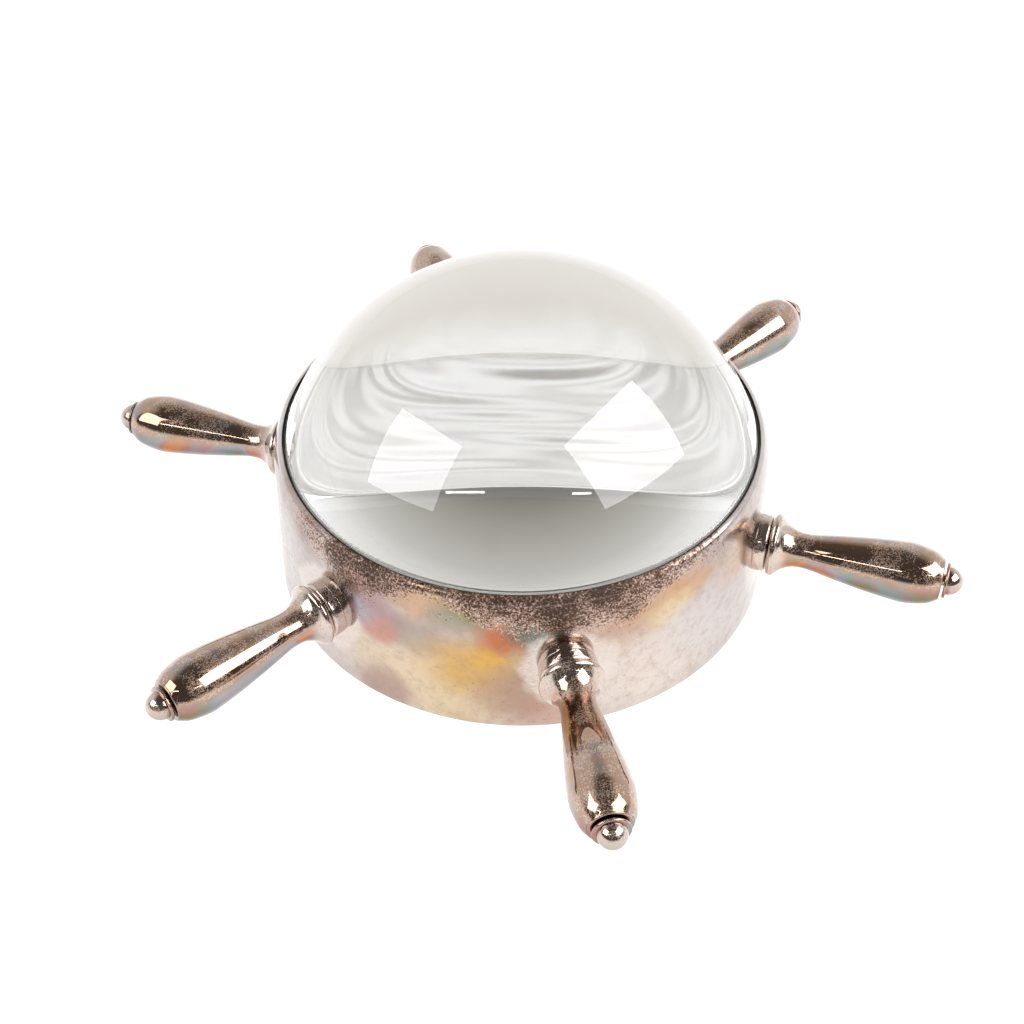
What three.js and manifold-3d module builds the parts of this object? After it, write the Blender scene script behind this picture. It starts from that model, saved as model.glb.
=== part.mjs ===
// Ship's-wheel desk magnifier: a deep block of glass with a domed top, held in a plated drum
// that has six turned spokes, so that the drum looks like a helm. The reader stands it on the
// page and looks down through the dome.
//
// Millimetres, +Z up. The origin is the centre of the drum's foot, on the surface it rests on.
// Six identical spokes stand out of the drum level with the table, at SPOKE_ANGLES.

import * as THREE from 'three';
import { mergeVertices } from 'three/addons/utils/BufferGeometryUtils.js';
import Module from 'manifold-3d';

// Driving dimensions
const GAP = 0.3; // clearance between pieces that touch

const DRUM_HEIGHT = 33.9;
const BASE_RADIUS = 51.3; // outside, at the foot: the wall narrows slightly as it rises
const SHOULDER_RADIUS = 50.5; // outside, where the rounded shoulder starts
const SHOULDER_HEIGHT = 28.5;
const LIP_RADIUS = 48.8; // outside, at the top of the shoulder
const MOUTH_RADIUS = 48.6; // inside the lip, around the gasket
const WALL = 1.6;
const FOOT_WIDTH = 5; // the wall's bottom edge is turned in, to carry the glass
const FOOT_THICKNESS = 2;

const LENS_RADIUS = 47.6;
const LENS_DOME_HEIGHT = 31.9; // above the drum's lip
const LENS_SKIRT = 31.6; // straight edge of the glass, below the lip

const GASKET_WIDTH = 0.4;
const GASKET_DEPTH = 1.2;

const SPOKE_HEIGHT = 15.2; // the spokes' axes above the foot
const SPOKE_ANGLES = [44.4, 105, 164.2, 221.2, 280.2, 342.8]; // set by hand, up to 3 degrees uneven

// Stations along a spoke, measured from the drum's axis
const COLLAR = { thickness: 1.8, radius: 5.9, round: 0.7 };
const BELL = { at: 54.2, radius: 6.45, halfWidth: 1 };
const FLARE = { at: 56.4, radius: 4.6 };
const NECK = { at: 59.5, radius: 3.6 };
const TAPER = { at: 66, radius: 4.4 };
const SWELL = { at: 80.5, radius: 6.2 };
const GRIP_END = { at: 88, radius: 4.1 };
const FINIAL_LIP = { at: 89.1, radius: 3.7 };
const TIP = 92.2;

const SCREW_RADIUS = 1.5;
const SCREW_REACH = 8; // how far the screw goes into the grip, past the collar
const SCREW_HEAD = { radius: 2.8, thickness: 0.7 }; // low, to clear the glass
const FINIAL_PIN = { radius: 1.2, length: 4 };

const RING_SEGMENTS = 60;
const SPOKE_SEGMENTS = 16;
const SMALL_SEGMENTS = 12;

const COLOURS = {
  silver: { color: 0xb9a79b, roughness: 0.28, metalness: 1 },
  grip: { color: 0xa58c78, roughness: 0.2, metalness: 1 },
  brass: { color: 0xb08d4f, roughness: 0.4, metalness: 1 },
  glass: { color: 0xe3e9e6, roughness: 0.03, metalness: 0, transparent: true, opacity: 0.4 },
  gasket: { color: 0x161616, roughness: 0.7, metalness: 0 },
};

const wasm = await Module();
wasm.setup();

const BORE_RADIUS = SCREW_RADIUS + GAP; // hole around a screw

// A solid turned about Z from an outline of [radius, height] points
function turned(outline, segments) {
  const points = outline.map(([radius, height]) => new THREE.Vector2(radius, height));
  const geometry = new THREE.LatheGeometry(points, segments);
  geometry.rotateX(Math.PI / 2);
  return welded(geometry);
}

// The same, turned about X, for the pieces of a spoke
function turnedAlongX(outline, segments) {
  return turned(outline, segments).rotateY(Math.PI / 2);
}

function welded(geometry) {
  geometry.deleteAttribute('normal');
  geometry.deleteAttribute('uv');
  const merged = mergeVertices(geometry, 1e-4);
  return withoutSlivers(merged);
}

// Drops the triangles that have no area, such as those on a turned solid's axis
function withoutSlivers(geometry) {
  const index = Array.from(geometry.index.array);
  const kept = [];
  for (let i = 0; i < index.length; i += 3) {
    const [a, b, c] = index.slice(i, i + 3);
    if (a !== b && b !== c && c !== a) kept.push(a, b, c);
  }
  geometry.setIndex(kept);
  return geometry;
}

function toSolid(geometry) {
  const vertProperties = new Float32Array(geometry.attributes.position.array);
  const triVerts = new Uint32Array(geometry.index.array);
  return new wasm.Manifold(new wasm.Mesh({ numProp: 3, vertProperties, triVerts }));
}

function toGeometry(solid) {
  const mesh = solid.getMesh();
  const geometry = new THREE.BufferGeometry();
  geometry.setAttribute('position', new THREE.BufferAttribute(mesh.vertProperties, 3));
  geometry.setIndex(new THREE.BufferAttribute(mesh.triVerts, 1));
  return geometry;
}

function named(name, geometry, look) {
  const mesh = new THREE.Mesh(geometry, new THREE.MeshStandardMaterial(look));
  mesh.name = name;
  return mesh;
}

// Points on an ellipse in an outline, from one angle to another, in degrees
function arc(centre, radii, from, to, steps) {
  const points = [];
  for (let i = 0; i <= steps; i += 1) {
    const angle = THREE.MathUtils.degToRad(from + ((to - from) * i) / steps);
    points.push([centre[0] + radii[0] * Math.cos(angle), centre[1] + radii[1] * Math.sin(angle)]);
  }
  return points;
}

// A smooth curve through a few [radius, height] points
function smooth(points, steps) {
  const curve = new THREE.SplineCurve(points.map(([r, h]) => new THREE.Vector2(r, h)));
  return curve.getPoints(steps).map((p) => [p.x, p.y]);
}

// A flat ring about Z
function ring(inner, outer, bottom, top, segments) {
  return turned([[inner, bottom], [outer, bottom], [outer, top], [inner, top], [inner, bottom]], segments);
}

// The drum's outer radius where its wall is straight
function wallRadius(height) {
  return THREE.MathUtils.lerp(BASE_RADIUS, SHOULDER_RADIUS, height / SHOULDER_HEIGHT);
}

function radial(angle) {
  return new THREE.Matrix4()
    .makeTranslation(0, 0, SPOKE_HEIGHT)
    .multiply(new THREE.Matrix4().makeRotationZ(THREE.MathUtils.degToRad(angle)));
}

// Plated drum with a rounded shoulder, a turned-in foot and a clearance hole for each spoke
function drumShell() {
  const chamfer = 0.4;
  const footInner = BASE_RADIUS - FOOT_WIDTH;
  const shoulder = arc(
    [LIP_RADIUS, SHOULDER_HEIGHT],
    [SHOULDER_RADIUS - LIP_RADIUS, DRUM_HEIGHT - SHOULDER_HEIGHT],
    0,
    90,
    4,
  );
  const outline = [
    [footInner, 0],
    [BASE_RADIUS - chamfer, 0],
    [BASE_RADIUS, chamfer],
    ...shoulder,
    [MOUTH_RADIUS, DRUM_HEIGHT],
    [MOUTH_RADIUS, DRUM_HEIGHT - GASKET_DEPTH - 2 * GAP],
    [SHOULDER_RADIUS - WALL, SHOULDER_HEIGHT],
    [wallRadius(FOOT_THICKNESS) - WALL, FOOT_THICKNESS],
    [footInner, FOOT_THICKNESS],
    [footInner, 0],
  ];
  let shell = toSolid(turned(outline, RING_SEGMENTS));
  const drillStart = BASE_RADIUS - 3 * WALL;
  const drillEnd = BASE_RADIUS + WALL;
  const drill = turnedAlongX(
    [[0, drillStart], [BORE_RADIUS, drillStart], [BORE_RADIUS, drillEnd], [0, drillEnd]],
    SMALL_SEGMENTS,
  );
  for (const angle of SPOKE_ANGLES) {
    shell = shell.subtract(toSolid(drill.clone().applyMatrix4(radial(angle))));
  }
  return named('drum_shell', toGeometry(shell), COLOURS.silver);
}

// Glass: a flat underside on the drum's foot, a straight skirt inside the drum, and a
// spherical dome above the lip
function magnifyingLens() {
  const chamfer = 0.6;
  const underside = DRUM_HEIGHT - LENS_SKIRT;
  const sphere = (LENS_RADIUS ** 2 + LENS_DOME_HEIGHT ** 2) / (2 * LENS_DOME_HEIGHT);
  const centre = DRUM_HEIGHT + LENS_DOME_HEIGHT - sphere;
  const edge = THREE.MathUtils.radToDeg(Math.acos(LENS_RADIUS / sphere));
  const dome = arc([0, centre], [sphere, sphere], edge, 90, 12);
  dome[dome.length - 1][0] = 0;
  const outline = [
    [0, underside],
    [LENS_RADIUS - chamfer, underside],
    [LENS_RADIUS, underside + chamfer],
    ...dome,
  ];
  return named('magnifying_lens', turned(outline, RING_SEGMENTS), COLOURS.glass);
}

// Thin black ring that fills the joint between the glass and the lip
function lensGasket() {
  const inner = LENS_RADIUS + GAP;
  const top = DRUM_HEIGHT - GAP;
  const geometry = ring(inner, inner + GASKET_WIDTH, top - GASKET_DEPTH, top, RING_SEGMENTS);
  return named('lens_gasket', geometry, COLOURS.gasket);
}

// Where the spoke's collar stands against the curved, slightly leaning wall
const COLLAR_BACK = wallRadius(SPOKE_HEIGHT - COLLAR.radius) + GAP;
const COLLAR_FACE = COLLAR_BACK + COLLAR.thickness;
const GRIP_BACK = COLLAR_FACE + GAP;

// Disc between the wall and the grip
function spokeCollar(label) {
  const { radius, round } = COLLAR;
  const outline = [
    [BORE_RADIUS, COLLAR_BACK],
    [radius, COLLAR_BACK],
    ...arc([radius - round, COLLAR_FACE - round], [round, round], 0, 90, 2),
    [BORE_RADIUS, COLLAR_FACE],
    [BORE_RADIUS, COLLAR_BACK],
  ];
  return named(`spoke_collar_${label}`, turnedAlongX(outline, SPOKE_SEGMENTS), COLOURS.grip);
}

// Turned grip: a bell at the wall, a narrow neck and a long swell, bored at both ends
function spokeGrip(label) {
  const boreEnd = COLLAR_FACE + SCREW_REACH + GAP;
  const pinBore = FINIAL_PIN.radius + GAP;
  const pinBoreEnd = GRIP_END.at - FINIAL_PIN.length - GAP;
  const bell = arc([BELL.radius - BELL.halfWidth, BELL.at], [BELL.halfWidth, BELL.halfWidth], -80, 60, 3);
  const body = smooth([FLARE, NECK, TAPER, SWELL, GRIP_END].map(({ at, radius }) => [radius, at]), 10);
  const outline = [
    [0, boreEnd],
    [BORE_RADIUS, boreEnd],
    [BORE_RADIUS, GRIP_BACK],
    [BELL.radius - BELL.halfWidth, GRIP_BACK],
    ...bell,
    ...body,
    [pinBore, GRIP_END.at],
    [pinBore, pinBoreEnd],
    [0, pinBoreEnd],
  ];
  return named(`spoke_grip_${label}`, turnedAlongX(outline, SPOKE_SEGMENTS), COLOURS.grip);
}

// Button at the end of the grip, on a pin
function spokeFinial(label) {
  const back = GRIP_END.at + GAP;
  const nose = arc([0, FINIAL_LIP.at], [FINIAL_LIP.radius - 0.8, TIP - FINIAL_LIP.at], 0, 90, 4);
  nose[nose.length - 1][0] = 0;
  const outline = [
    [0, back - FINIAL_PIN.length],
    [FINIAL_PIN.radius, back - FINIAL_PIN.length],
    [FINIAL_PIN.radius, back],
    [FINIAL_LIP.radius - 0.5, back],
    [FINIAL_LIP.radius, back + 0.4],
    [FINIAL_LIP.radius, FINIAL_LIP.at - 0.1],
    ...nose,
  ];
  return named(`spoke_finial_${label}`, turnedAlongX(outline, SPOKE_SEGMENTS), COLOURS.grip);
}

// Low-headed screw, from inside the wall into the grip
function spokeScrew(label) {
  const { radius, thickness } = SCREW_HEAD;
  const face = wallRadius(SPOKE_HEIGHT + radius) - WALL - 2 * GAP;
  const end = COLLAR_FACE + SCREW_REACH;
  const outline = [
    [0, face - thickness],
    [radius, face - thickness],
    [radius, face],
    [SCREW_RADIUS, face],
    [SCREW_RADIUS, end],
    [0, end],
  ];
  return named(`spoke_screw_${label}`, turnedAlongX(outline, SMALL_SEGMENTS), COLOURS.brass);
}

function spoke(label, angle) {
  const group = new THREE.Group();
  group.position.z = SPOKE_HEIGHT;
  group.rotation.z = THREE.MathUtils.degToRad(angle);
  for (const piece of [spokeCollar, spokeGrip, spokeFinial, spokeScrew]) {
    group.add(piece(label));
  }
  return group;
}

const magnifier = new THREE.Group();
magnifier.add(drumShell(), magnifyingLens(), lensGasket());
SPOKE_ANGLES.forEach((angle, i) => magnifier.add(spoke(i + 1, angle)));

export default magnifier;
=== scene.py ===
"""Looks of the ship's-wheel desk magnifier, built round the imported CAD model.

Metres, +Z up, origin at the centre of the drum's foot. Lengths below are in millimetres and are
scaled by MM where a mesh or a shader takes them.
"""

import math

import bmesh
import bpy
from mathutils import Matrix, Vector


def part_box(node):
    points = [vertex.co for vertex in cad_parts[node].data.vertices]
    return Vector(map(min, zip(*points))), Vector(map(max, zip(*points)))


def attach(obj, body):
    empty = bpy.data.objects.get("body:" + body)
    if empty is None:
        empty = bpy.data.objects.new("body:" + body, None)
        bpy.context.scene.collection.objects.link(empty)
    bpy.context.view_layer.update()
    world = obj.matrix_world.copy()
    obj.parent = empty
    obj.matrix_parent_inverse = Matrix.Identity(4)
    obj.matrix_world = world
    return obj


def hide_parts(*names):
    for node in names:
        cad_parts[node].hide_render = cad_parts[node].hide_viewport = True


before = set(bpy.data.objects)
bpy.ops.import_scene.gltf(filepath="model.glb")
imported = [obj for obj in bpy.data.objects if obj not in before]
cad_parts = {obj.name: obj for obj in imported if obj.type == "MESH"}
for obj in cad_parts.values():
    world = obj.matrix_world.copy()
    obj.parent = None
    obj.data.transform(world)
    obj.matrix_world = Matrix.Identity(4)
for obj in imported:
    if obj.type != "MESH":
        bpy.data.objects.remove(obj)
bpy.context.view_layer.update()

MM = 0.001


def corners(node):
    """The lowest and highest corners of a CAD node, in millimetres."""
    return [[round(value / MM, 2) for value in corner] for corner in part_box(node)]


# Drum: its foot's radius and its height are the CAD's
BASE_RADIUS, _, DRUM_HEIGHT = corners("drum_shell")[1]
SHOULDER_RADIUS = 50.5
SHOULDER_HEIGHT = 28.5
LIP_RADIUS = 48.65
LIP_ROUND = 0.16
MOUTH_RADIUS = 48.4
WALL = 1.6
FOOT_INNER = 46.3
FOOT_THICKNESS = 2.0
FOOT_ROUND = 0.4
FOOT_BEVEL = 0.25

# Glass: its bottom and its top are the CAD's, and it takes half the CAD's clearance at its side
LENS_CLEARANCE = 0.15
(_, _, LENS_BOTTOM), (LENS_SIDE, _, LENS_TOP) = corners("magnifying_lens")
LENS_RADIUS = LENS_SIDE + LENS_CLEARANCE
LENS_DOME = round(LENS_TOP - DRUM_HEIGHT, 2)
LENS_SPHERE = (LENS_RADIUS**2 + LENS_DOME**2) / (2 * LENS_DOME)
LENS_CENTRE = DRUM_HEIGHT + LENS_DOME - LENS_SPHERE
LENS_INDEX = 1.62
SKIRT_RIPPLE = 0.015
SKIRT_FROST = 0.13
SEAL_DEPTH = 1.2

# Spokes: the height of their axes and the collars' radius are the CAD's
(_, _, COLLAR_FOOT), (_, _, COLLAR_CROWN) = corners("spoke_collar_1")
SPOKE_HEIGHT = (COLLAR_FOOT + COLLAR_CROWN) / 2
COLLAR_RADIUS = (COLLAR_CROWN - COLLAR_FOOT) / 2

# Their directions in degrees, their radii, and stations from the drum's axis
SPOKE_ANGLES = (44.4, 105, 164.2, 221.2, 280.2, 342.8)
BORE_RADIUS = 1.6
COLLAR_BACK = 50.45
COLLAR_FACE = 53.14
BELL_AT = 54.2
BELL_RADIUS = 6.45
GRIP_END = 87.95
FINIAL_BASE = 88.42
FINIAL_TIP = 92.1
FINIAL_RADIUS = 3.7
NOSE_RADIUS = 2.9
PIN_START = 84.4
PIN_RADIUS = 1.2
SCREW_HEAD_BACK = 47.95
SCREW_HEAD_FACE = 48.6
SCREW_HEAD_RADIUS = 2.8
SCREW_RADIUS = 1.5
SCREW_END = 61.1

# Segments round a turned piece
FINE = 256
SPOKE_FINE = 96
SCREW_FINE = 48
SHARP_EDGE = 32  # degrees: steeper edges are drawn sharp
ON_AXIS = 1e-6

# Camera, set so that the drum's circles fall where the photograph has them
CAMERA_PLACE = (0, -264.75, 258.44)
CAMERA_FORWARD = (-0.00541, 0.72815, -0.68540)
CAMERA_ROLL = -0.0053  # radians
CAMERA_LENS = 59.893

# Lamps stand on a sphere, in metres, and face its centre
LAMP_DISTANCE = 1.0
LAMP_CENTRE_HEIGHT = 0.02


def tone(red, green, blue):
    """A display colour, 0 to 255, as the linear colour that shaders take."""
    def linear(v):
        v /= 255
        return v / 12.92 if v <= 0.04045 else ((v + 0.055) / 1.055) ** 2.4
    return (linear(red), linear(green), linear(blue), 1)


# ---------------------------------------------------------------- shader graphs


class Graph:
    """Short names for the nodes of one material or world."""

    def __init__(self, owner):
        owner.use_nodes = True
        self.tree = owner.node_tree
        self.tree.nodes.clear()

    def add(self, kind, *inputs, **settings):
        node = self.tree.nodes.new(kind)
        for name, value in settings.items():
            setattr(node, name, value)
        for socket, value in inputs:
            self.put(node.inputs[socket], value)
        return node

    def put(self, socket, value):
        if isinstance(value, bpy.types.NodeSocket):
            self.tree.links.new(value, socket)
        else:
            socket.default_value = value

    def maths(self, operation, a, b=0.0):
        return self.add("ShaderNodeMath", (0, a), (1, b), operation=operation).outputs[0]

    def times(self, a, b):
        return self.maths("MULTIPLY", a, b)

    def plus(self, a, b):
        return self.maths("ADD", a, b)

    def minus(self, a, b):
        return self.maths("SUBTRACT", a, b)

    def vector(self, operation, a, b=(0, 0, 0), output=0):
        node = self.add("ShaderNodeVectorMath", (0, a), (1, b), operation=operation)
        return node.outputs[output]

    def split(self, vector):
        return self.add("ShaderNodeSeparateXYZ", (0, vector)).outputs

    def join(self, x, y, z):
        return self.add("ShaderNodeCombineXYZ", (0, x), (1, y), (2, z)).outputs[0]

    def place(self):
        return self.add("ShaderNodeTexCoord").outputs["Object"]

    def distance(self, a, b):
        return self.vector("DISTANCE", a, tuple(b), output=1)

    def stretched(self, place, upward):
        """The same place with its height multiplied, for grain that runs round the wall."""
        return self.vector("MULTIPLY", place, (1, 1, upward))

    def moved(self, place, *offset):
        """The same place moved, so that two noises of a kind differ."""
        return self.vector("ADD", place, offset)

    def from_axis(self, x, y):
        return self.vector("LENGTH", self.join(x, y, 0.0), output=1)

    def fade(self, value, start, end, low=0.0, high=1.0):
        """A smooth step from low at start to high at end."""
        node = self.add(
            "ShaderNodeMapRange", (0, value), (1, start), (2, end), (3, low), (4, high),
            interpolation_type="SMOOTHSTEP",
        )
        return node.outputs[0]

    def noise(self, vector, size, detail=2.0, rough=0.5, distortion=0.0, output=0):
        """Noise whose features are about size millimetres across."""
        node = self.add(
            "ShaderNodeTexNoise", ("Vector", vector), ("Scale", 1 / (size * MM)),
            ("Detail", detail), ("Roughness", rough), ("Distortion", distortion),
        )
        return node.outputs[output]

    def mix(self, factor, a, b):
        node = self.add("ShaderNodeMix", data_type="RGBA")
        self.put(node.inputs[0], factor)
        self.put(node.inputs[6], a)
        self.put(node.inputs[7], b)
        return node.outputs[2]

    def ramp(self, factor, stops):
        node = self.add("ShaderNodeValToRGB", (0, factor))
        ramp = node.color_ramp
        while len(ramp.elements) < len(stops):
            ramp.elements.new(1.0)
        for element, (place, colour) in zip(ramp.elements, stops):
            element.position = place
            element.color = colour
        return node.outputs[0]

    def bump(self, height, depth, strength, normal=None):
        node = self.add("ShaderNodeBump", ("Height", height), ("Distance", depth * MM))
        node.inputs["Strength"].default_value = strength
        if normal is not None:
            self.put(node.inputs["Normal"], normal)
        return node.outputs[0]

    def surface(self, *inputs):
        shader = self.add("ShaderNodeBsdfPrincipled", *inputs)
        output = self.add("ShaderNodeOutputMaterial")
        self.tree.links.new(shader.outputs[0], output.inputs[0])
        return shader


def new_material(name):
    material = bpy.data.materials.new(name)
    return material, Graph(material)


# Colours that a sulphide film gives silver as it thickens, from bare plate to black
SILVER = tone(216, 208, 206)
CREAM = tone(232, 212, 184)
GOLD = tone(214, 172, 104)
ORANGE = tone(196, 110, 62)
MAUVE = tone(176, 138, 142)
BLUE = tone(176, 178, 196)
TEAL = tone(104, 122, 108)
OLIVE = tone(146, 138, 98)
TAN = tone(206, 168, 132)
BROWN = tone(112, 78, 56)
FLECK = tone(226, 200, 184)

# Stains on the drum's wall: angle, height, size, colour and strength
WALL_STAINS = (
    (204, 16, 16, SILVER, 0.8),
    (222, 8, 13, SILVER, 0.8),
    (243, 10, 17, CREAM, 0.85),
    (257, 6, 14, tone(224, 202, 166), 0.8),
    (247, 21, 8, tone(174, 160, 150), 0.8),
    (236, 22, 9, MAUVE, 0.75),
    (238, 19, 5, tone(212, 150, 128), 0.7),
    (231, 22, 6, BLUE, 0.6),
    (238, 3, 8, tone(170, 138, 130), 0.7),
    (276, 3, 9, tone(206, 168, 150), 0.7),
    (322, 20, 8, tone(198, 182, 180), 0.6),
    (334, 12, 7, tone(196, 170, 162), 0.6),
    (249, 30.5, 9, TAN, 0.85),
    (259, 30, 8, OLIVE, 0.8),
    (253, 27, 5, tone(160, 160, 150), 0.6),
    (260, 16, 12, GOLD, 0.95),
    (262, 19, 5, tone(226, 176, 88), 0.7),
    (266, 24, 6.5, ORANGE, 0.9),
    (273, 26, 6.5, TEAL, 0.9),
    (271, 9, 11, tone(184, 150, 132), 0.85),
    (290, 23, 11, tone(206, 172, 146), 0.7),
    (300, 10, 18, tone(232, 218, 208), 0.9),
    (299, 28, 9, TAN, 0.8),
    (309, 27, 8, tone(208, 164, 124), 0.85),
    (304, 23, 6, tone(232, 208, 164), 0.7),
    (318, 14, 16, SILVER, 0.8),
    (329, 24, 11, tone(216, 182, 152), 0.7),
    (337, 7, 14, SILVER, 0.7),
    (20, 14, 18, MAUVE, 0.6),
    (70, 17, 20, GOLD, 0.7),
    (84, 10, 10, ORANGE, 0.6),
    (128, 18, 18, CREAM, 0.8),
    (146, 22, 10, TEAL, 0.6),
    (180, 12, 16, TAN, 0.6),
)

# Places where the dark band under the lip is worn away: angle, height and size
BARE_PATCHES = ((253, 24, 15), (244, 27, 9), (308, 25, 14))

STAIN_STRETCH = 1.35  # stains are this much wider than they are high
WALL_MIDDLE = 50.8  # the wall's radius at half its height


def on_wall(angle, height):
    turn = math.radians(angle)
    return Vector((WALL_MIDDLE * math.cos(turn), WALL_MIDDLE * math.sin(turn), height)) * MM


def pits(graph, place, density, size):
    """0 on clean metal and 1 in a tarnished pit, with more pits where density is higher."""
    grain = graph.noise(place, size, detail=3, rough=0.65)
    level = graph.add(
        "ShaderNodeMapRange", (0, density), (1, 0.0), (2, 1.0), (3, 0.70), (4, 0.30),
    )
    return graph.fade(graph.minus(grain, level.outputs[0]), -0.02, 0.02)


def near_spokes(graph, place):
    """Distance from the foot of the nearest spoke, in metres."""
    nearest = 1.0
    for angle in SPOKE_ANGLES:
        foot = on_wall(angle, SPOKE_HEIGHT)
        nearest = graph.maths("MINIMUM", graph.distance(place, foot), nearest)
    return nearest


def warped(graph, place):
    """The place pushed about by a slow noise, for outlines that wander."""
    push = graph.noise(place, 9, detail=3, rough=0.6, output=1)
    push = graph.vector("SCALE", graph.vector("SUBTRACT", push, (0.5, 0.5, 0.5)))
    push.node.inputs["Scale"].default_value = 7 * MM
    return graph.vector("ADD", place, push)


def stained(graph, place, bent):
    """The wall's clouded silver with its stains and the round mark left by a drop."""
    colour = graph.ramp(graph.noise(place, 16, detail=4, rough=0.6), (
        (0.30, tone(174, 152, 146)),
        (0.45, tone(192, 180, 176)),
        (0.55, tone(206, 198, 196)),
        (0.70, tone(186, 170, 158)),
    ))
    flat = graph.stretched(bent, STAIN_STRETCH)
    for angle, height, size, stain, strength in WALL_STAINS:
        centre = on_wall(angle, height * STAIN_STRETCH)
        distance = graph.distance(flat, centre)
        cover = graph.fade(distance, size * 1.25 * MM, size * 0.35 * MM, 0.0, strength)
        colour = graph.mix(cover, colour, stain)
    from_ring = graph.minus(graph.distance(place, on_wall(267, 21)), 1.3 * MM)
    drop = graph.fade(graph.maths("ABSOLUTE", from_ring), 0.5 * MM, 0.15 * MM, 0.0, 0.4)
    return graph.mix(drop, colour, tone(170, 150, 144))


def dark_band(graph, place, bent, z, towards):
    """How thickly the dark sulphide covers the plate: most at the front, under the lip."""
    high = graph.fade(z, 21 * MM, 33.5 * MM)
    front = graph.fade(towards, 0.40, 0.97)
    ragged = graph.fade(graph.noise(place, 7, detail=4, rough=0.65), 0.25, 0.65, 0.35, 1.15)
    band = graph.times(graph.times(high, front), ragged)
    for angle, height, size in BARE_PATCHES:
        distance = graph.distance(bent, on_wall(angle, height))
        band = graph.plus(band, graph.fade(distance, size * MM, size * 0.3 * MM, 0.0, -0.45))
    return band


def crusted(graph, place, colour, band):
    """The colour with the dark band's specks over it, broken up at the band's edge."""
    speck = graph.noise(place, 0.40, detail=2, rough=0.7)
    uneven = graph.minus(graph.noise(graph.moved(place, 0.3, 0, 0), 9), 0.5)
    lean = graph.plus(speck, graph.times(graph.minus(0.40, band), 0.16))
    lean = graph.plus(lean, graph.times(uneven, 0.35))
    crust = graph.ramp(lean, (
        (0.39, tone(58, 38, 28)),
        (0.46, tone(106, 76, 58)),
        (0.53, tone(152, 120, 102)),
        (0.60, tone(212, 184, 172)),
    ))
    break_up = graph.noise(graph.moved(place, 0.2, 0.1, 0.3), 0.6, detail=3, rough=0.7)
    cover = graph.plus(band, graph.times(graph.minus(break_up, 0.5), 1.6))
    return graph.mix(graph.fade(cover, 0.16, 0.42, 0.0, 0.95), colour, crust)


def plate_material():
    """The drum: satin silver plate with toned patches, a pitted dark band under the lip, and
    sides painted paler as painted reflection.
    """
    material, graph = new_material("silver_plate_tarnished")
    place = graph.place()
    x, y, z = graph.split(place)
    bent = warped(graph, place)
    colour = stained(graph, place, bent)
    mottle = graph.noise(place, 2.2, detail=4, rough=0.7)
    colour = graph.mix(graph.fade(mottle, 0.42, 0.75, 0.0, 0.35), colour, tone(168, 138, 122))
    outward = graph.vector("NORMALIZE", graph.join(x, y, 0.0))
    towards = graph.vector("DOT_PRODUCT", outward, (-0.06, -1, 0), output=1)
    # Painted reflection: the wall is painted paler where it turns away from the front, standing
    # in for the bright floor and backdrop that its edges mirror
    side = graph.fade(towards, 0.45, 0.1, 0.0, 0.75)
    colour = graph.mix(side, colour, tone(232, 228, 226))

    band = dark_band(graph, place, bent, z, towards)
    spread = graph.fade(graph.noise(place, 12, detail=3), 0.42, 0.72, 0.08, 0.40)
    pit = pits(graph, place, graph.fade(graph.plus(band, spread), 0.0, 1.1, 0.0, 0.62), 0.35)
    colour = graph.mix(0.12, colour, tone(60, 50, 46))
    colour = graph.mix(graph.times(pit, 0.45), colour, BROWN)
    colour = crusted(graph, place, colour, band)

    # Polishing has wiped a pale halo round the foot of each spoke
    wiped = graph.fade(near_spokes(graph, bent), 11 * MM, 8.5 * MM)
    scratch = graph.noise(graph.stretched(place, 4), 0.8, detail=4, rough=0.7)
    halo = graph.times(wiped, graph.fade(scratch, 0.3, 0.6, 0.3, 0.8))
    colour = graph.mix(halo, colour, tone(224, 212, 204))

    # The wall is bright inside the drum, behind the glass
    inside = graph.times(
        graph.fade(graph.from_axis(x, y), 50.0 * MM, 49.8 * MM),
        graph.fade(z, 32.6 * MM, 32.2 * MM),
    )
    colour = graph.mix(graph.times(inside, 0.9), colour, tone(232, 228, 222))

    crust = graph.fade(band, 0.08, 0.85)
    metal = graph.fade(graph.maths("MAXIMUM", crust, inside), 0.0, 1.0, 1.0, 0.45)
    rough = graph.plus(graph.fade(mottle, 0.3, 0.8, 0.15, 0.24), graph.times(crust, 0.2))
    rough = graph.plus(rough, graph.times(pit, 0.12))
    rough = graph.plus(graph.times(rough, graph.fade(wiped, 0.0, 1.0, 1.0, 0.35)), 0.01)
    grain = graph.noise(graph.stretched(place, 3), 0.5, detail=3, rough=0.6)
    relief = graph.plus(graph.times(grain, 0.12), graph.noise(place, 11, detail=1))
    normal = graph.bump(relief, 0.10, 0.5)
    normal = graph.bump(pit, -0.02, 0.5, normal)
    graph.surface(
        ("Base Color", colour), ("Metallic", metal), ("Roughness", rough), ("Normal", normal),
    )
    return material


def under_film(graph, place, reach):
    """Film colours of a spoke's underside, which differ near the bell and near the tip."""
    film = graph.noise(place, 11, detail=2, rough=0.45, distortion=0.5)
    film = graph.plus(film, graph.fade(reach, 76 * MM, 88 * MM, 0.0, 0.18))
    film = graph.plus(film, graph.fade(reach, 63 * MM, 57 * MM, 0.0, -0.14))
    return graph.ramp(film, (
        (0.28, tone(118, 110, 82)),
        (0.36, tone(190, 112, 48)),
        (0.41, tone(154, 104, 92)),
        (0.47, tone(140, 132, 136)),
        (0.55, tone(122, 124, 130)),
        (0.60, tone(104, 124, 104)),
        (0.64, tone(138, 98, 106)),
        (0.69, tone(108, 112, 78)),
        (0.76, tone(142, 80, 56)),
    ))


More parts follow.
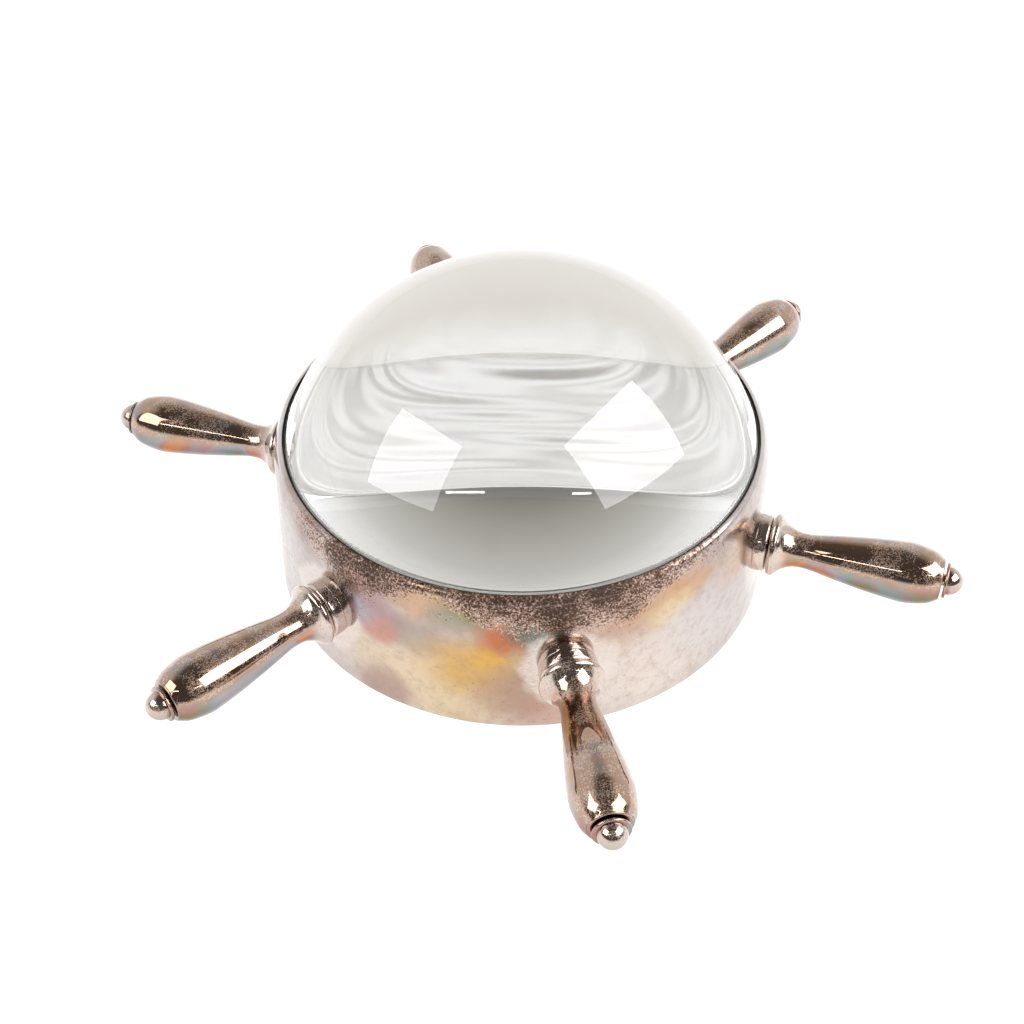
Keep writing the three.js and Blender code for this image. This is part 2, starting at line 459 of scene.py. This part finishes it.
def spoke_material():
    """The spokes: polished plate, browned and flecked on top, with film colours underneath."""
    material, graph = new_material("spoke_plate_tarnished")
    place = graph.place()
    x, y = graph.split(place)[:2]
    facing = graph.split(graph.add("ShaderNodeNewGeometry").outputs["Normal"])[2]
    reach = graph.from_axis(x, y)
    under = under_film(graph, place, reach)
    blotch = graph.noise(graph.moved(place, 0.1, 0.3, 0.2), 9, detail=4, rough=0.6)
    above = graph.ramp(blotch, (
        (0.34, tone(140, 108, 100)),
        (0.43, tone(154, 110, 76)),
        (0.50, tone(156, 108, 60)),
        (0.56, tone(156, 118, 86)),
        (0.66, tone(134, 118, 116)),
    ))
    edge = graph.times(graph.minus(blotch, 0.5), 0.8)
    top = graph.fade(graph.plus(facing, edge), 0.05, 0.35)
    colour = graph.mix(top, under, above)
    patch = graph.fade(graph.noise(place, 6, detail=4, rough=0.65), 0.36, 0.56)
    # The collar, the bell and the button's nose are paler than the rest
    pale = graph.plus(
        graph.fade(reach, 58 * MM, 55.6 * MM),
        graph.fade(reach, 89.2 * MM, 90.2 * MM, 0.0, 0.7),
    )
    colour = graph.mix(graph.times(pale, 0.75), colour, tone(212, 196, 184))
    worn = graph.times(top, patch)
    density = graph.plus(graph.times(worn, 0.36), graph.times(pale, 0.22))
    pit = pits(graph, place, density, 0.32)
    colour = graph.mix(graph.times(pit, 0.45), colour, tone(96, 68, 52))
    fleck = pits(graph, graph.moved(place, 0.3, 0.2, 0.1), graph.times(worn, 0.50), 0.30)
    colour = graph.mix(graph.times(fleck, 0.5), colour, FLECK)
    metal = graph.fade(fleck, 0.0, 1.0, 1.0, 0.55)
    rough = graph.plus(graph.fade(blotch, 0.3, 0.8, 0.03, 0.09), graph.times(fleck, 0.2))
    normal = graph.bump(pit, -0.004, 0.4)
    graph.surface(
        ("Base Color", colour), ("Metallic", metal), ("Roughness", rough), ("Normal", normal),
        ("Coat Weight", graph.fade(facing, -0.3, 0.2, 0.1, 1.0)),
        ("Coat Roughness", 0.03), ("Coat IOR", 2.3),
    )
    return material


def glass_material():
    """Thick optical glass, faintly grey, with polishing haze, a frosted side and a darker,
    browner upper back.
    """
    material, graph = new_material("optical_glass")
    place = graph.place()
    x, y, z = graph.split(place)
    radius = graph.from_axis(x, y)
    haze = graph.noise(place, 14, detail=3, rough=0.6)
    colour = graph.ramp(haze, (
        (0.3, (0.98, 0.985, 0.97, 1)),
        (0.7, (0.995, 0.995, 0.985, 1)),
    ))
    # The glass over the dome's upper back half is tinted darker and browner, with an edge that
    # wanders with the haze
    darker_upper_back = graph.times(
        graph.fade(z, (DRUM_HEIGHT + 4) * MM, (DRUM_HEIGHT + 20) * MM),
        graph.fade(graph.plus(y, graph.times(haze, 8 * MM)), -16 * MM, 4 * MM),
    )
    colour = graph.mix(darker_upper_back, colour, (0.50, 0.46, 0.40, 1))
    side = graph.times(
        graph.fade(radius, (LENS_RADIUS - 0.7) * MM, (LENS_RADIUS - 0.4) * MM),
        graph.fade(z, (DRUM_HEIGHT - 0.1) * MM, (DRUM_HEIGHT - 0.6) * MM),
    )
    frost = graph.fade(
        z, (DRUM_HEIGHT - 1.2) * MM, (DRUM_HEIGHT - 0.3) * MM, SKIRT_FROST, 0.25,
    )
    # The flat underside is clear, but its rim is ground
    rim = graph.times(
        graph.fade(z, (LENS_BOTTOM + 0.3) * MM, (LENS_BOTTOM + 0.2) * MM),
        graph.fade(radius, 44 * MM, 47 * MM, 0.0, 0.2),
    )
    rough = graph.plus(graph.fade(haze, 0.4, 0.7, 0.0, 0.008), graph.times(side, frost))
    rough = graph.maths("MAXIMUM", rough, rim)
    graph.surface(
        ("Base Color", colour), ("Roughness", rough), ("IOR", LENS_INDEX),
        ("Transmission Weight", 1.0),
    )
    return material


def seal_material():
    """Black sealing ring, slightly uneven and dusty."""
    material, graph = new_material("black_seal")
    place = graph.place()
    grain = graph.noise(place, 0.5, detail=3, rough=0.6)
    colour = graph.ramp(grain, ((0.3, tone(14, 13, 13)), (0.7, tone(38, 36, 35))))
    rough = graph.fade(grain, 0.3, 0.7, 0.35, 0.6)
    normal = graph.bump(grain, 0.05, 0.4)
    graph.surface(("Base Color", colour), ("Roughness", rough), ("Normal", normal))
    return material


def brass_material():
    """Bare brass of the screws, dulled by age."""
    material, graph = new_material("aged_brass")
    place = graph.place()
    age = graph.noise(place, 1.2, detail=4, rough=0.6)
    colour = graph.ramp(age, ((0.35, tone(190, 150, 84)), (0.65, tone(142, 104, 60))))
    rough = graph.fade(age, 0.3, 0.7, 0.25, 0.45)
    normal = graph.bump(age, 0.03, 0.4)
    graph.surface(
        ("Base Color", colour), ("Metallic", 1.0), ("Roughness", rough), ("Normal", normal),
    )
    return material


# ---------------------------------------------------------------- shapes


def arc(centre, radii, start, end, steps):
    """Points on an ellipse from one angle to another, in degrees."""
    points = []
    for i in range(steps + 1):
        turn = math.radians(start + (end - start) * i / steps)
        across, along = radii[0] * math.cos(turn), radii[1] * math.sin(turn)
        points.append((centre[0] + across, centre[1] + along))
    return points


def spline(points, steps):
    """A Catmull-Rom curve through (radius, station) points, with steps parts in each span."""
    ends = [points[0], *points, points[-1]]
    made = []
    for a, b, c, d in zip(ends, ends[1:], ends[2:], ends[3:]):
        for i in range(steps):
            t = i / steps
            made.append(tuple(
                0.5 * (2 * q + (r - p) * t + (2 * p - 5 * q + 4 * r - s) * t * t
                       + (3 * q - p - 3 * r + s) * t**3)
                for p, q, r, s in zip(a, b, c, d)
            ))
    made.append(points[-1])
    return made


def ring_of(shape, radius, height, segments, ripple):
    """A ring of vertices round Z, or the one vertex of a point on the axis."""
    if radius < ON_AXIS:
        return [shape.verts.new((0, 0, height * MM))]
    ring = []
    for i in range(segments):
        turn = 2 * math.pi * i / segments
        r = radius + (ripple(radius, height, turn) if ripple else 0)
        ring.append(shape.verts.new(
            (r * math.cos(turn) * MM, r * math.sin(turn) * MM, height * MM),
        ))
    return ring


def join_rings(shape, low, high, segments):
    for i in range(segments):
        j = (i + 1) % segments
        if len(low) == 1 and len(high) == 1:
            return
        if len(low) == 1:
            shape.faces.new((low[0], high[j], high[i]))
        elif len(high) == 1:
            shape.faces.new((low[i], low[j], high[0]))
        else:
            shape.faces.new((low[i], low[j], high[j], high[i]))


def turned(name, outline, material, segments=FINE, closed=True, place=None, ripple=None):
    """A solid turned about Z from (radius, height) points in millimetres, then placed. ripple
    gives what to add to the radius at a point."""
    mesh = bpy.data.meshes.new(name)
    shape = bmesh.new()
    rings = [ring_of(shape, radius, height, segments, ripple) for radius, height in outline]
    for low, high in zip(rings, rings[1:] + rings[:1] if closed else rings[1:]):
        join_rings(shape, low, high, segments)
    bmesh.ops.recalc_face_normals(shape, faces=shape.faces)
    for face in shape.faces:
        face.smooth = True
    for edge in shape.edges:
        edge.smooth = edge.calc_face_angle(0) < math.radians(SHARP_EDGE)
    if place is not None:
        bmesh.ops.transform(shape, matrix=place, verts=shape.verts)
    shape.to_mesh(mesh)
    shape.free()
    mesh.materials.append(material)
    piece = bpy.data.objects.new(name, mesh)
    bpy.context.scene.collection.objects.link(piece)
    return piece


def stand_for(piece, slot, *nodes):
    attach(piece, "root")
    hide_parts(*nodes)


def wall_radius(height):
    return BASE_RADIUS + (SHOULDER_RADIUS - BASE_RADIUS) * height / SHOULDER_HEIGHT


def make_drum(material):
    lip_top = DRUM_HEIGHT - LIP_ROUND
    crown = LIP_RADIUS + 0.15
    shoulder = arc(
        (crown, SHOULDER_HEIGHT),
        (SHOULDER_RADIUS - crown, DRUM_HEIGHT - 0.15 - SHOULDER_HEIGHT), 0, 84, 20,
    )
    lip = arc((LIP_RADIUS - 0.02, lip_top), (LIP_ROUND, LIP_ROUND), 70, 180, 8)
    foot = arc((BASE_RADIUS - FOOT_ROUND, FOOT_ROUND), (FOOT_ROUND, FOOT_ROUND), -90, 0, 6)
    wall = [(wall_radius(height), height) for height in (1.5, 4, 8, 12, 16, 20, 24)]
    outline = [
        (FOOT_INNER, FOOT_BEVEL), (FOOT_INNER + FOOT_BEVEL, 0), *foot, *wall, *shoulder, *lip,
        (MOUTH_RADIUS, DRUM_HEIGHT - SEAL_DEPTH - 0.4), (SHOULDER_RADIUS - WALL, SHOULDER_HEIGHT),
        (wall_radius(FOOT_THICKNESS) - WALL, FOOT_THICKNESS),
        (FOOT_INNER + FOOT_BEVEL, FOOT_THICKNESS), (FOOT_INNER, FOOT_THICKNESS - FOOT_BEVEL),
    ]
    drum = turned("drum", outline, material)
    stand_for(drum, "silver_plate", "drum_shell")


def skirt_ripple(radius, height, turn):
    """Shallow waves on the glass's straight side, which make the streaks seen through it."""
    if radius < LENS_RADIUS - 0.01 or not LENS_BOTTOM < height < DRUM_HEIGHT:
        return 0
    wave = (
        math.sin(2 * math.pi * (height / 2.9 + 0.3 * math.sin(5 * turn + 0.7)))
        + 0.7 * math.sin(2 * math.pi * (height / 1.9 + 0.35 * math.sin(7 * turn + 2.1)))
        + 0.9 * math.sin(2 * math.pi * height / 4.6 + 2 * math.sin(4 * turn + 1))
    )
    fade = min(1, (height - LENS_BOTTOM) / 1.5, (DRUM_HEIGHT - height) / 1.5)
    return SKIRT_RIPPLE * fade * wave


def make_lens(material):
    edge = math.degrees(math.acos(LENS_RADIUS / LENS_SPHERE))
    dome = arc((0, LENS_CENTRE), (LENS_SPHERE, LENS_SPHERE), edge, 90, 72)
    dome[-1] = (0, LENS_TOP)
    steps = 120
    depth = DRUM_HEIGHT - LENS_BOTTOM
    skirt = [(LENS_RADIUS, LENS_BOTTOM + depth * i / steps) for i in range(steps)]
    outline = [(0, LENS_BOTTOM), *skirt, *dome]
    lens = turned("glass_dome", outline, material, closed=False, ripple=skirt_ripple)
    stand_for(lens, "lens_glass", "magnifying_lens")


def make_seal(material):
    inner, outer = LENS_RADIUS + 0.2, MOUTH_RADIUS - 0.03
    top, bottom = DRUM_HEIGHT - 0.3, DRUM_HEIGHT - SEAL_DEPTH - 0.2
    crown = arc(((inner + outer) / 2, top - 0.25), ((outer - inner) / 2, 0.25), 0, 180, 10)
    seal = turned("seal_ring", [(inner, bottom), (outer, bottom), *crown], material)
    stand_for(seal, "black_seal", "lens_gasket")


def spoke_place(angle):
    """Turns +Z into the spoke's direction, at the spokes' height."""
    return (
        Matrix.Translation((0, 0, SPOKE_HEIGHT * MM))
        @ Matrix.Rotation(math.radians(angle), 4, "Z")
        @ Matrix.Rotation(math.radians(90), 4, "Y")
    )


def collar_outline():
    back_round, face_round = 0.3, 0.75
    return [
        (BORE_RADIUS, COLLAR_BACK), (COLLAR_RADIUS - back_round, COLLAR_BACK),
        *arc((COLLAR_RADIUS - back_round, COLLAR_BACK + back_round),
             (back_round, back_round), -90, 0, 4),
        *arc((COLLAR_RADIUS - face_round, COLLAR_FACE - face_round),
             (face_round, face_round), 0, 90, 10),
        (BORE_RADIUS, COLLAR_FACE),
    ]


def grip_outline():
    """The bell, the neck, the long swell and the rounded end, with a hole at each end."""
    back = COLLAR_FACE + 0.12
    hole_end = SCREW_END + 0.2
    bell = arc((BELL_RADIUS - 0.95, BELL_AT + 0.02), (0.95, 0.92), -84, 62, 18)
    body = spline([
        (4.75, 56.2), (3.9, 57.8), (3.6, 59.5), (3.72, 62), (4.4, 66), (5.45, 73),
        (6.1, 79), (6.14, 82), (5.4, 85.7), (4.35, 87.6),
    ], 8)
    tail = arc((3.9, GRIP_END - 0.4), (0.4, 0.4), 0, 90, 5)
    return [
        (0, hole_end), (BORE_RADIUS, hole_end), (BORE_RADIUS, back), (BELL_RADIUS - 1.2, back),
        *bell, *body, *tail, (BORE_RADIUS, GRIP_END), (BORE_RADIUS, 83.6), (0, 83.6),
    ]


def finial_outline():
    """A thin rim with a rounded nose, on a pin that goes into the grip."""
    rim = arc((FINIAL_RADIUS - 0.25, FINIAL_BASE + 0.3), (0.25, 0.3), -90, 80, 8)
    nose_start = 89.05
    nose = arc((0, nose_start), (NOSE_RADIUS, FINIAL_TIP - nose_start), 0, 90, 24)
    nose[-1] = (0, FINIAL_TIP)
    return [
        (0, PIN_START), (PIN_RADIUS, PIN_START), (PIN_RADIUS, 88.4), (3.2, FINIAL_BASE),
        *rim, *nose,
    ]


def screw_outline():
    return [
        (0, SCREW_HEAD_BACK), (SCREW_HEAD_RADIUS - 0.3, SCREW_HEAD_BACK),
        (SCREW_HEAD_RADIUS, SCREW_HEAD_BACK + 0.2), (SCREW_HEAD_RADIUS, SCREW_HEAD_FACE),
        (SCREW_RADIUS, SCREW_HEAD_FACE), (SCREW_RADIUS, SCREW_END - 0.3),
        (SCREW_RADIUS - 0.3, SCREW_END), (0, SCREW_END),
    ]


def make_spoke(number, angle, plate, brass):
    place = spoke_place(angle)
    parts = (
        ("collar", collar_outline(), plate, SPOKE_FINE, True, "spoke_plate"),
        ("grip", grip_outline(), plate, SPOKE_FINE, False, "spoke_plate"),
        ("finial", finial_outline(), plate, SPOKE_FINE, False, "spoke_plate"),
        ("screw", screw_outline(), brass, SCREW_FINE, False, "bare_brass"),
    )
    for name, outline, material, segments, closed, slot in parts:
        piece = turned(f"{name}_{number}", outline, material, segments, closed, place)
        stand_for(piece, slot, f"spoke_{name}_{number}")


# ---------------------------------------------------------------- studio


def make_floor():
    """A white table that glows, so that it stays as white as the photograph's."""
    bpy.ops.mesh.primitive_plane_add(size=8)
    floor = bpy.context.object
    floor.name = "table"
    material, graph = new_material("white_table")
    graph.surface(
        ("Base Color", (0.30, 0.30, 0.30, 1)), ("Roughness", 0.9),
        ("Emission Color", (1, 1, 1, 1)), ("Emission Strength", 0.96),
    )
    floor.data.materials.append(material)


def make_world():
    """A bright horizon under a dark ceiling, and dark above the horizon on the camera's side. The
    camera itself sees plain white."""
    world = bpy.data.worlds.new("studio")
    bpy.context.scene.world = world
    graph = Graph(world)
    x, y, z = graph.split(graph.add("ShaderNodeTexCoord").outputs["Generated"])
    # The ceiling stays bright higher up at the sides
    height = graph.minus(z, graph.times(graph.times(x, x), 0.6))
    ceiling = graph.ramp(height, (
        (0.0, (0.97, 0.97, 0.97, 1)),
        (0.48, (0.9, 0.9, 0.9, 1)),
        (0.66, (0.61, 0.60, 0.57, 1)),
        (0.78, (0.36, 0.345, 0.31, 1)),
        (0.85, (0.17, 0.16, 0.14, 1)),
        (0.93, (0.13, 0.125, 0.12, 1)),
    ))
    dark = graph.times(graph.fade(y, 0.25, -0.15), graph.fade(z, 0.0, 0.15))
    colour = graph.mix(dark, ceiling, (0.11, 0.105, 0.10, 1))
    seen = graph.add("ShaderNodeLightPath").outputs["Is Camera Ray"]
    colour = graph.mix(seen, colour, (1, 1, 1, 1))
    background = graph.add("ShaderNodeBackground", ("Color", colour), ("Strength", 1.0))
    output = graph.add("ShaderNodeOutputWorld")
    graph.tree.links.new(background.outputs[0], output.inputs[0])


def direction(azimuth, elevation):
    a, e = math.radians(azimuth), math.radians(elevation)
    return Vector((math.cos(a) * math.cos(e), math.sin(a) * math.cos(e), math.sin(e)))


def make_lamp(name, centre, across, size, radiance):
    """A rectangular light that faces the object. centre and across are directions: where it
    stands, and which way its first side runs."""
    light = bpy.data.lights.new(name, "AREA")
    light.shape = "RECTANGLE"
    light.size, light.size_y = size
    light.energy = radiance * size[0] * size[1] * math.pi
    lamp = bpy.data.objects.new(name, light)
    back = centre.normalized()
    side = (across - across.dot(back) * back).normalized()
    axes = Matrix((side, back.cross(side), back)).transposed().to_4x4()
    place = back * LAMP_DISTANCE + Vector((0, 0, LAMP_CENTRE_HEIGHT))
    lamp.matrix_world = Matrix.Translation(place) @ axes
    lamp.visible_camera = False
    bpy.context.scene.collection.objects.link(lamp)


def make_softbox(name, azimuth, elevation, roll, size, radiance):
    """A softbox in a direction given in degrees, rolled about the line to the object."""
    back = direction(azimuth, elevation)
    level = back.cross(Vector((0, 0, 1))).normalized()
    turn = math.radians(roll)
    across = math.cos(turn) * level + math.sin(turn) * level.cross(back)
    make_lamp(name, back, across, size, radiance)


def make_tube(name, start, end, thickness, radiance):
    """A thin light that runs between two directions, each an azimuth and an elevation."""
    first, last = direction(*start), direction(*end)
    along = last - first
    make_lamp(name, (first + last) / 2, along, (along.length, thickness), radiance)


def make_camera():
    camera = bpy.data.cameras.new("camera")
    camera.sensor_width = 36
    camera.lens = CAMERA_LENS
    camera.clip_start = 0.01
    holder = bpy.data.objects.new("camera", camera)
    bpy.context.scene.collection.objects.link(holder)
    place = Vector(CAMERA_PLACE) * MM
    forward = Vector(CAMERA_FORWARD).normalized()
    side = forward.cross(Vector((0, 0, 1))).normalized()
    above = side.cross(forward)
    right = math.cos(CAMERA_ROLL) * side + math.sin(CAMERA_ROLL) * above
    up = -math.sin(CAMERA_ROLL) * side + math.cos(CAMERA_ROLL) * above
    axes = Matrix((right, up, -forward)).transposed().to_4x4()
    holder.matrix_world = Matrix.Translation(place) @ axes
    bpy.context.scene.camera = holder


plate = plate_material()
spoke_plate = spoke_material()
brass = brass_material()
make_drum(plate)
make_lens(glass_material())
make_seal(seal_material())
for spoke_number, spoke_angle in enumerate(SPOKE_ANGLES, start=1):
    make_spoke(spoke_number, spoke_angle, spoke_plate, brass)

make_floor()
make_world()
make_softbox("softbox_right", -17.3, 41.3, 16, (0.89, 0.62), 4.6)
make_softbox("softbox_left", -157.4, 36.6, -20, (0.64, 0.55), 3.5)
make_tube("tube_left", (-131.8, 35.6), (-110.8, 41.8), 0.018, 16)
make_tube("tube_right", (-61.2, 39.5), (-51.2, 36.3), 0.018, 16)
make_camera()

scene = bpy.context.scene
scene.view_settings.view_transform = "Standard"
scene.cycles.max_bounces = 32
scene.cycles.glossy_bounces = 16
scene.cycles.transmission_bounces = 24
scene.cycles.use_denoising = True
